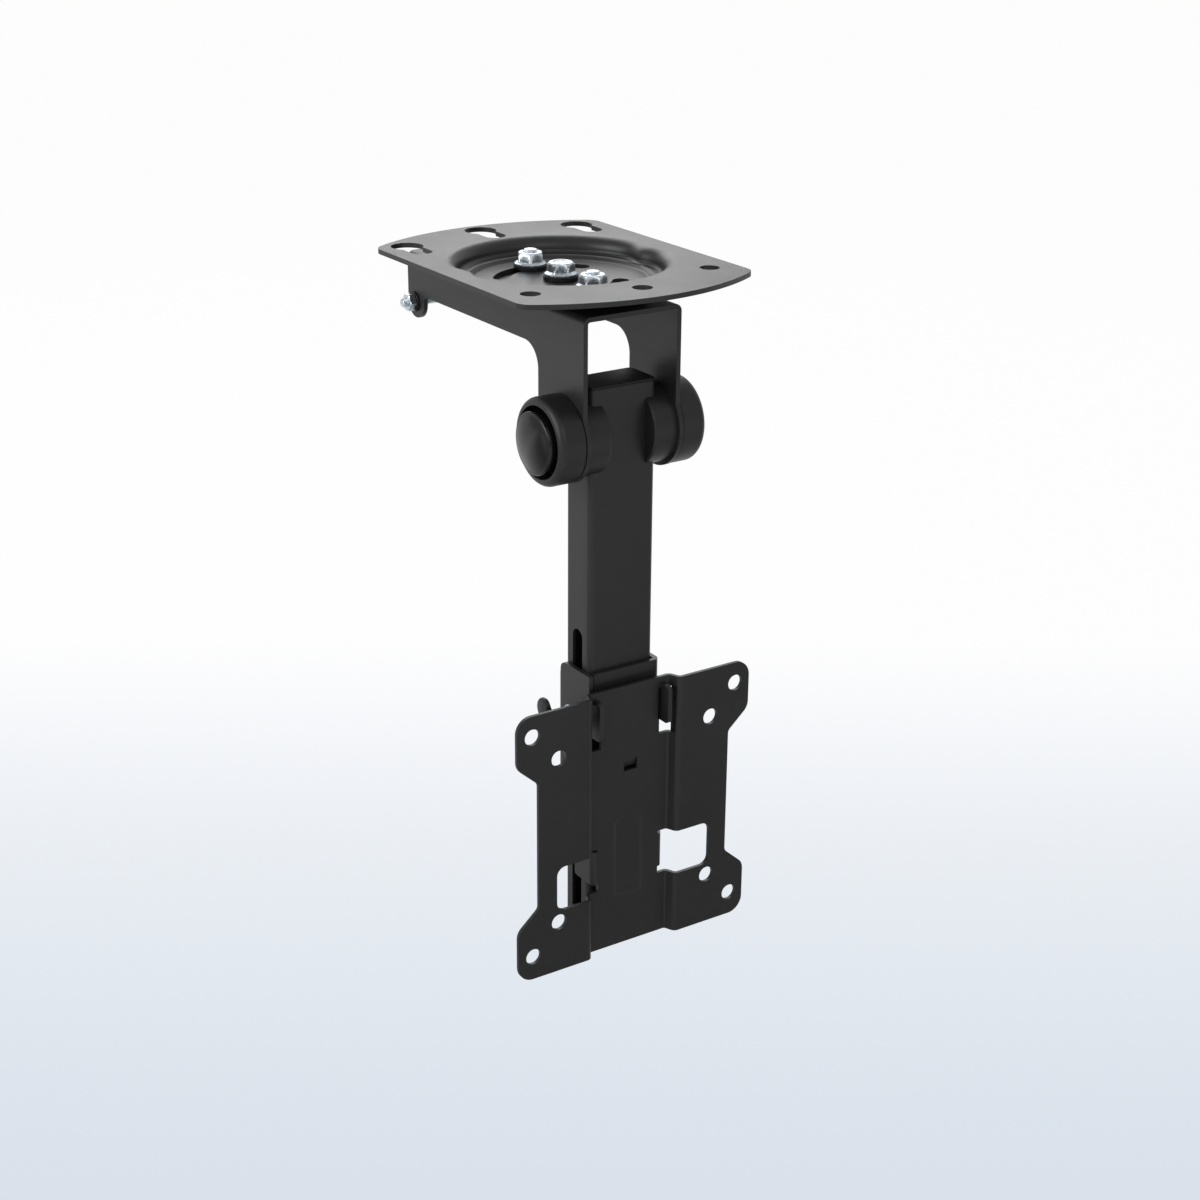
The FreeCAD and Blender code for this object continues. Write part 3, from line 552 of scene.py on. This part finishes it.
nut_turn = radians(30)
swivel_chamfer = 0.95
swivel_nut_low, swivel_nut_high = box_mm("swivel_nut")
stand_for(flange_nut("swivel_flange_nut", 0, swivel_nut_low[2], swivel_nut_high[2],
                     swivel_chamfer, nut_turn), "swivel_nut", zinc)
guide_chamfer = 1.3
guide_nut_low, guide_nut_high = box_mm("guide_nuts")
stand_for(joined("guide_flange_nuts", [
    flange_nut("guide_nut", y, guide_nut_low[2], guide_nut_high[2], guide_chamfer, turn)
    for y, turn in ((-guide_y, nut_turn), (guide_y, 0.0))]), "guide_nuts", zinc)


# Washers in the dish: thick turned steel washers, blackened in an oil bath, one under each nut. They
# are slightly smaller across than the solids that they stand for.
def washer(name, axis, centre, outer, inner, low_face, high_face):
    """A washer with eased edges: its section is a rectangle with small bevels, spun round the axis."""
    ease = 0.22
    return spin(name, axis, centre, *round_rows([
        (inner, low_face + ease), (inner + ease, low_face), (outer - ease, low_face),
        (outer, low_face + ease), (outer, high_face - ease), (outer - ease, high_face),
        (inner + ease, high_face), (inner, high_face - ease), (inner, low_face + ease)]))


def black_oxide(name):
    """Blackened steel: near black and partly metallic, with dull and oily patches."""
    material, start = fresh(name)
    place = start.node("ShaderNodeTexCoord", {}, {}, "Object")
    patch = start.node("ShaderNodeTexNoise", {}, {
        "Vector": place, "Scale": 300.0, "Detail": 4.0}, "Fac")
    tone = start.node("ShaderNodeValToRGB", {"stops": [
        (0.3, (0.008, 0.008, 0.009)), (0.7, (0.022, 0.022, 0.024))]}, {"Fac": patch}, "Color")
    finish_with(start, start.node("ShaderNodeBsdfPrincipled", {}, {
        "Base Color": tone, "Metallic": 0.3, "Roughness": 0.3 + 0.25 * patch}))
    return material


oxide = black_oxide("black_oxide_steel")
m6_hole = 3.3
trimmed = 0.4
ring_low, ring_high = box_mm("swivel_washer")
stand_for(washer("swivel_thick_washer", "Z", (0, 0), ring_high[0] - trimmed, m6_hole,
                 ring_low[2], ring_high[2]), "swivel_washer", oxide)
guide_ring_low, guide_ring_high = box_mm("guide_washers")
stand_for(joined("guide_thick_washers", [
    washer("guide_washer", "Z", (0, y), guide_ring_high[0] - trimmed, m6_hole,
           guide_ring_low[2], guide_ring_high[2])
    for y in (-guide_y, guide_y)]), "guide_washers", oxide)


# Arm bracket: one steel sheet folded into a channel, with two legs for the tube's pivot and two round
# ears behind, powder coated satin black after folding.
def soft_edged(name, node, edge):
    """A merged copy of a CAD node, its flat faces dissolved into one and its sharp edges rounded."""
    mesh = frame["nodes"][node].data.copy()
    mesh.name = name
    work = bmesh.new()
    work.from_mesh(mesh)
    bmesh.ops.remove_doubles(work, verts=work.verts, dist=0.002 * mm)
    bmesh.ops.dissolve_limit(work, angle_limit=radians(0.4), verts=work.verts, edges=work.edges)
    work.to_mesh(mesh)
    work.free()
    mesh.shade_smooth()
    mesh.set_sharp_from_angle(angle=edge_angle)
    made = bpy.data.objects.new(name, mesh)
    bpy.context.scene.collection.objects.link(made)
    round_edges(made, edge)
    return made


arm_coat = powder_coat("arm_powder_coat", (0.021, 0.0212, 0.0225), 0.4, 0.45)
stand_for(soft_edged("folded_arm_channel", "arm_bracket", 0.3), "arm_bracket", arm_coat)


# Pivot bolt and nut: one M8 bolt through both legs, the spacers and the tube. They are bright zinc
# and hidden under the domed buttons.
def plain_nut(name, axis, centre, flats, bore, low_face, high_face):
    """A hexagon nut, chamfered on both faces, with a bevelled bore."""
    corner = flats / 3 ** 0.5
    past_corner = corner + 0.1
    edge = 0.12
    chamfer = edge + 0.5 * (corner - flats / 2)
    bevel = 0.3
    rows, levels = round_rows([
        (bore, low_face + bevel), (bore + bevel, low_face), (0.47 * flats, low_face),
        (0.495 * flats, low_face + edge), (past_corner, low_face + chamfer),
        (past_corner, high_face - chamfer), (0.495 * flats, high_face - edge),
        (0.47 * flats, high_face), (bore + bevel, high_face), (bore, high_face - bevel),
        (bore, low_face + bevel)])
    return spin(name, axis, centre, six_sided(rows, flats), levels)


m8_crest = 3.97
m8_pitch = 1.25
m8_flats = 13.0
m8_head = 5.3
m8_bore = 3.7
pivot_low, pivot_high = box_mm("pivot_bolt")
pivot = ((pivot_low + pivot_high) / 2)[1:]
stand_for(hexagon_bolt("pivot_bolt_zinc", "X", pivot, m8_crest, m8_pitch, m8_flats,
                       pivot_low[0] + m8_head, m8_head, pivot_high[0]), "pivot_bolt", zinc)
pivot_nut_low, pivot_nut_high = box_mm("pivot_nut")
stand_for(plain_nut("pivot_nut_zinc", "X", pivot, m8_flats, m8_bore,
                    pivot_nut_low[0], pivot_nut_high[0]), "pivot_nut", zinc)


# Pivot caps: black cups moulded in nylon, with a rolled front edge and a fine grain, pressed on the
# legs' outer sides.
def moulding(name, colour, rough, grain, scale):
    """Black moulded plastic with a fine spark grain and faint flow marks."""
    material, start = fresh(name)
    place = start.node("ShaderNodeTexCoord", {}, {}, "Object")
    speck = start.node("ShaderNodeTexNoise", {}, {
        "Vector": place, "Scale": scale, "Detail": 2.0}, "Fac")
    flow = start.node("ShaderNodeTexNoise", {}, {
        "Vector": place, "Scale": 60.0, "Detail": 2.0}, "Fac")
    dull = tuple(0.8 * c for c in colour)
    bright = tuple(1.2 * c for c in colour)
    tone = start.node("ShaderNodeValToRGB", {"stops": [(0.3, dull), (0.7, bright)]},
                      {"Fac": flow}, "Color")
    bump = start.node("ShaderNodeBump", {}, {
        "Height": speck, "Strength": grain, "Distance": 0.0001}, "Normal")
    finish_with(start, start.node("ShaderNodeBsdfPrincipled", {}, {
        "Base Color": tone, "Roughness": rough + 0.08 * (flow - 0.5), "Normal": bump}))
    return material


grained = moulding("grained_black_nylon", (0.017, 0.017, 0.018), 0.42, 0.45, 1600.0)
cap_low, cap_high = box_mm("right_cap")
leg_face = cap_low[0]
cap_face = cap_high[0]
cap_r = 17.8
cap_bore = 4.2
cap_floor = leg_face + 3.0
lip_r = 14.6
roll_r = 3.0
roll_turns = np.radians(np.linspace(0, 90, 9))
rolled_edge = np.column_stack([cap_r - roll_r + roll_r * np.cos(roll_turns),
                               cap_face - roll_r + roll_r * np.sin(roll_turns)])
cap_section = np.concatenate([
    [(cap_bore, leg_face), (cap_r - 0.5, leg_face), (cap_r, leg_face + 0.5)], rolled_edge,
    [(lip_r + 0.15, cap_face - 0.03), (lip_r, cap_face - 0.2), (lip_r, cap_floor + 0.4),
     (lip_r - 0.4, cap_floor), (cap_bore, cap_floor), (cap_bore, leg_face)]])
for side, sign in (("left", -1), ("right", 1)):
    rows, levels = round_rows(cap_section)
    stand_for(spin(side + "_pivot_cup", "X", pivot, rows, sign * levels), side + "_cap", grained)

# Domed buttons: smooth black covers moulded in acetal, pushed over the bolt's head and nut inside the
# cups, so that a dark gap shows round them.
button_low, button_high = box_mm("right_button")
button_back = button_low[0]
dome_top = button_high[0]
button_r = 12.7
dome_rise = 2.4
button_wall = 1.5
edge_r = 0.75
# The dome is a cap of a sphere, whose radius follows from the cap's reach and rise, and a small round
# leads from it to the button's side.
dome_r = (button_r ** 2 + dome_rise ** 2) / (2 * dome_rise)
dome_reach = pole_r + (button_r - edge_r) * np.linspace(0, 1, 14)
dome = np.column_stack([dome_reach, dome_top - dome_r + np.sqrt(dome_r ** 2 - dome_reach ** 2)])
edge_turns = np.radians(np.linspace(80, 0, 7))
edge_level = dome[-1, 1] - 0.74
button_edge = np.column_stack([button_r - edge_r + edge_r * np.cos(edge_turns),
                               edge_level + edge_r * np.sin(edge_turns)])
socket_r = m8_flats / 3 ** 0.5 + 0.05
roof = dome_top - dome_rise - button_wall
button_section = np.concatenate([dome, button_edge, [
    (button_r, button_back + 0.2), (button_r - 0.2, button_back), (socket_r, button_back),
    (socket_r, roof), (pole_r, roof)]])
glossy_black = moulding("smooth_black_acetal", (0.005, 0.005, 0.0056), 0.17, 0.04, 900.0)
for side, sign in (("left", -1), ("right", 1)):
    rows, levels = round_rows(button_section)
    stand_for(spin(side + "_domed_button", "X", pivot, rows, sign * levels),
              side + "_button", glossy_black)

# Spacers: black nylon discs between the legs and the tube, each with a channel that grips the tube's
# side, so the tube turns with them.
for side in ("left", "right"):
    stand_for(soft_edged(side + "_pivot_spacer", side + "_spacer", 0.35), side + "_spacer", grained)

# Cross bolt: an M4 bolt that ties the channel's two ears together, its nut on the left, with a dark
# washer on each side.
m4_crest = 1.98
m4_pitch = 0.7
m4_flats = 7.0
m4_head = 2.8
m4_bore = 1.85
m4_hole = 2.2
cross_low, cross_high = box_mm("cross_bolt")
cross = ((cross_low + cross_high) / 2)[1:]
stand_for(hexagon_bolt("cross_bolt_zinc", "X", cross, m4_crest, m4_pitch, m4_flats,
                       cross_high[0] - m4_head, m4_head, cross_low[0]), "cross_bolt", zinc)
cross_nut_low, cross_nut_high = box_mm("cross_bolt_nut")
stand_for(plain_nut("cross_bolt_nut_zinc", "X", cross, m4_flats, m4_bore,
                    cross_nut_low[0], cross_nut_high[0]), "cross_bolt_nut", zinc)
pad_low, pad_high = box_mm("cross_bolt_washers")
pad_r = (pad_high[2] - pad_low[2]) / 2
ear_face = box_mm("arm_bracket")[1][0]
stand_for(joined("cross_bolt_dark_washers", [
    washer("cross_washer", "X", cross, pad_r, m4_hole, *sorted((sign * ear_face, sign * pad_high[0])))
    for sign in (-1, 1)]), "cross_bolt_washers", oxide)

# Drop tube: a drawn steel tube with a long slot milled in each side for the clamp, powder coated satin
# black.
tube_coat = powder_coat("tube_powder_coat", (0.020, 0.0202, 0.0215), 0.42, 0.35)
stand_for(soft_edged("slotted_drop_tube", "tube", 0.2), "tube", tube_coat)

# End plugs: ribbed nylon plugs pushed into the tube's ends, whose thin flanges cover the cut edges.
# They are duller than the other mouldings.
dull_nylon = moulding("dull_black_nylon", (0.008, 0.008, 0.0085), 0.62, 0.6, 1300.0)
for end in ("top", "bottom"):
    stand_for(soft_edged(end + "_tube_plug", end + "_plug", 0.2), end + "_plug", dull_nylon)

# Sleeve: one steel sheet folded round the tube, with a strap in front and two hooks that carry the
# screen plate, powder coated like the arm.
stand_for(soft_edged("folded_sleeve", "sleeve", 0.3), "sleeve", arm_coat)

# Wing bolt: a black nylon grip moulded on a zinc-plated M6 stud, with a washer on each side of the
# sleeve and a nut on the far side. Its two flat lobes are turned by hand to clamp the sleeve.
grip_low, grip_high = box_mm("wing_grip")
clamp = ((grip_low + grip_high) / 2)[1:]
hub_r = 5.4
neck_r = 2.2
lobe_r = 12.9
lobe_half = 3.8
lobe_thick = 2.4
lobe_middle = lobe_r - lobe_half
lobe_face = grip_low[0] - 1.6
hub_start = lobe_face + 5.0
hub_end = grip_high[0] - 0.05
# The lobes stand up and down. Each is a round disc drawn in to the neck: its reach in a direction is
# the way to the far side of the disc, and between the lobes it falls to the neck's radius.
grip_steps = 193
off_lobe = np.abs(np.mod(np.linspace(0, 2 * np.pi, grip_steps), np.pi) - np.pi / 2)
in_disc = lobe_half ** 2 - (lobe_middle * np.sin(off_lobe)) ** 2
far_side = lobe_middle * np.cos(off_lobe) + np.sqrt(np.maximum(in_disc, 0))
lobes = np.where(in_disc > 0, far_side, neck_r)
# The lobes' rows run from their outer face inwards, each drawn in from the full reach by its inset.
# The hub's rows end a hair short of the washer.
lobe_levels = lobe_face + np.array([0.0, 0.15, 0.7, lobe_thick - 0.7, lobe_thick - 0.15, lobe_thick])
inset = np.array([0.9, 0.4, 0.0, 0.0, 0.4, 0.9])
hub_levels = [hub_start, hub_end - 0.4, hub_end, hub_end]
hub_reach = [[hub_r - 0.2], [hub_r], [hub_r - 0.4], [pole_r]]
grip_rows = np.concatenate([np.full((1, grip_steps), pole_r), lobes[None, :] - inset[:, None],
                            np.repeat(hub_reach, grip_steps, axis=1)])
grip_levels = np.concatenate([[lobe_face], lobe_levels, hub_levels])
stand_for(spin("lobed_wing_grip", "X", clamp, grip_rows, grip_levels), "wing_grip", grained)
stud_low, stud_high = box_mm("wing_stud")
stud_start = round_rows([(pole_r, stud_low[0]), (0.8 * m6_crest, stud_low[0])])
stud_thread = thread_rows(m6_crest, m6_pitch, stud_low[0], stud_high[0] - 0.4)
stud_end = round_rows([(0.82 * m6_crest, stud_high[0] - 0.1), (0.7 * m6_crest, stud_high[0]),
                       (pole_r, stud_high[0])])
stand_for(spin("wing_stud_zinc", "X", clamp, *stacked(stud_start, stud_thread, stud_end)),
          "wing_stud", zinc)
for node in ("wing_washer", "clamp_washer"):
    face_low, face_high = box_mm(node)
    stand_for(washer(node + "_zinc", "X", clamp, (face_high[2] - face_low[2]) / 2, m6_hole,
                     face_low[0], face_high[0]), node, zinc)
m6_bore = 2.75
clamp_nut_low, clamp_nut_high = box_mm("clamp_nut")
stand_for(plain_nut("clamp_nut_zinc", "X", clamp, m6_flats, m6_bore,
                    clamp_nut_low[0], clamp_nut_high[0]), "clamp_nut", zinc)

# Screen plate: one steel sheet of 1.5 mm with a set-back middle between two joggles, two windows whose
# metal is folded into ears, hook slots and two patterns of screw holes, powder coated satin black.
screen_coat = powder_coat("screen_plate_powder_coat", (0.018, 0.0182, 0.0193), 0.38, 0.4)
screen_plate = soft_edged("joggled_screen_plate", "screen_plate", 0.25)
screen_low, screen_high = box_mm("screen_plate")
screen_sheet = 1.5
set_back = 4.8
panel_drop = 18.55
panel_middle = np.array([0.0, (screen_low[2] + screen_high[2]) / 2 - panel_drop])
panel_half = np.array([6.5, 18.25])
panel_corner = 2.0
panel_depth = 0.6
panel_front = screen_low[1] + set_back
panel_back = panel_front + screen_sheet
slope_out = 0.9
slope_in = 0.5
near = 0.02
core_gap = 0.2
screen_mesh = screen_plate.data
spots = np.empty(3 * len(screen_mesh.vertices))
screen_mesh.vertices.foreach_get("co", spots)
spots = spots.reshape(-1, 3) / mm
# The pressed panel's upright walls are drawn out into slopes. At a wall's outer end, where pressed is
# 0, a point moves off the panel's core by slope_out. At its inner end, where pressed is 1, it moves
# towards the core by slope_in, and evenly between them. The core is the panel less its round corners.
level = spots[:, 1]
in_front = level < panel_back - 0.1
pressed = (level - np.where(in_front, panel_front, panel_back)) / panel_depth
from_middle = spots[:, ::2] - panel_middle
off_core = from_middle - np.clip(from_middle, panel_corner - panel_half, panel_half - panel_corner)
length = np.linalg.norm(off_core, axis=1)
on_wall = ((np.abs(from_middle) < panel_half + near).all(axis=1) & (length > core_gap)
           & (pressed > -near) & (pressed < 1 + near))
shift = slope_out - (slope_out + slope_in) * pressed
move = np.where(on_wall, shift / np.maximum(length, core_gap), 0.0)
spots[:, ::2] += move[:, None] * off_core
screen_mesh.vertices.foreach_set("co", (spots * mm).ravel())
# The slopes' rims are marked sharp, so that their shading breaks there.
ends = np.empty(2 * len(screen_mesh.edges), dtype=np.int32)
screen_mesh.edges.foreach_get("vertices", ends)
sharp = np.empty(len(screen_mesh.edges), dtype=bool)
screen_mesh.edges.foreach_get("use_edge_sharp", sharp)
on_rim = on_wall & ((pressed < near) | (level > panel_back + panel_depth - near))
sharp |= on_rim[ends].reshape(-1, 2).all(axis=1)
screen_mesh.edges.foreach_set("use_edge_sharp", sharp)
screen_mesh.update()
stand_for(screen_plate, "screen_plate", screen_coat)
